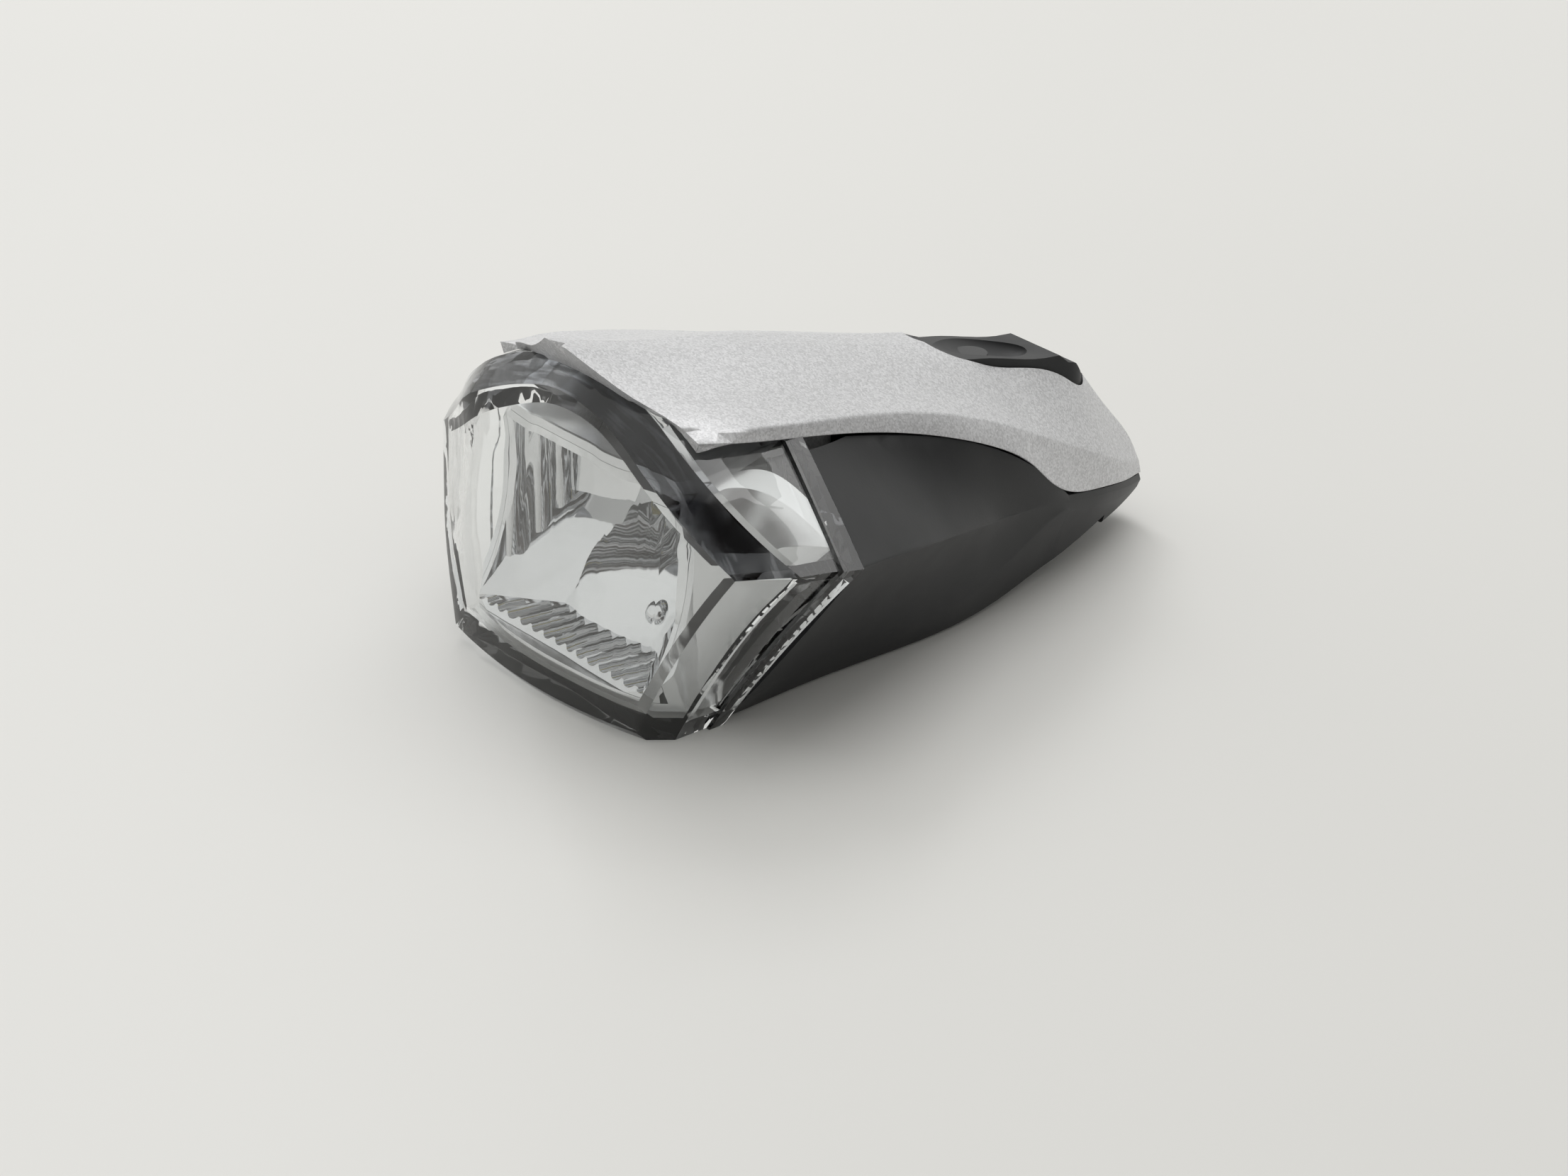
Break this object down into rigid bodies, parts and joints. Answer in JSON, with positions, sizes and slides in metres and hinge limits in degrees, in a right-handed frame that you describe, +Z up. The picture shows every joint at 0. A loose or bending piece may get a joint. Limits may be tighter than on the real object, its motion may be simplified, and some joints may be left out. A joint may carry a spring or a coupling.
{
  "type": "bicycle headlight",
  "caption": "Wedge-shaped battery headlight for a bicycle: clear faceted lens with a bevelled front, silver cover over a black housing, thumb button, and a slide-in mount below.",
  "frame": {"origin": "centre of the bounding box in plan, on the flat underside that the light rests on", "axes": "+Y from the lens to the tail, +X to the right seen from behind the tail looking forward reversed: the right side when facing the lens is +X, +Z up"},
  "size_m": [0.0684, 0.0863, 0.0411],
  "materials": {
    "clear_plastic": "clear polycarbonate, polished",
    "chromed_plastic": "vacuum-metallised mirror",
    "silver_paint": "satin silver paint on plastic",
    "black_plastic": "fine matt texture",
    "button_rubber": "matt",
    "flap_rubber": "matt",
    "seal_rubber": "matt",
    "aluminium": "as extruded",
    "white_board": "white solder mask",
    "green_board": "green solder mask",
    "led_ceramic": "ceramic base with yellow phosphor and clear dome",
    "steel": "zinc plated",
    "chip_black": "moulded resin",
    "ferrite": "ferrite",
    "ceramic_tan": "ceramic",
    "cell_wrap": "foil pouch",
    "foam": "closed-cell foam",
    "nickel": "nickel strip",
    "polyimide": "amber film"
  },
  "bodies": {
    "case": {"lens": "clear_plastic", "lens_seal": "seal_rubber", "bezel": "chromed_plastic", "reflector": "chromed_plastic", "led_emitter": "led_ceramic", "led_board": "white_board", "heat_sink": "aluminium", "led_screws": "steel", "reflector_screws": "steel", "led_flex": "polyimide", "housing": "black_plastic", "top_cover": "silver_paint", "cover_screws": "steel", "tact_switch": "chip_black", "main_board": "green_board", "board_screws": "steel", "driver_chip": "chip_black", "inductor": "ferrite", "capacitors": "ceramic_tan", "battery_cell": "cell_wrap", "battery_pads": "foam", "battery_tabs": "nickel", "charge_port": "steel", "port_board": "green_board"},
    "button": {"power_button": "button_rubber", "button_plunger": "black_plastic", "switch_actuator": "black_plastic"},
    "flap": {"port_flap": "flap_rubber"}
  },
  "joints": [
    {"name": "button_press", "type": "slide", "parent": "case", "child": "button", "axis": [0, 0, -1], "range_m": [0, 0.0008], "stiffness_N_per_m": 2500},
    {"name": "flap_hinge", "type": "hinge", "parent": "case", "child": "flap", "pos_m": [0, -0.01645, 0.0005], "axis": [-1, 0, 0], "range_deg": [0, 100], "stiffness_Nm_per_rad": 0.0004}
  ]
}
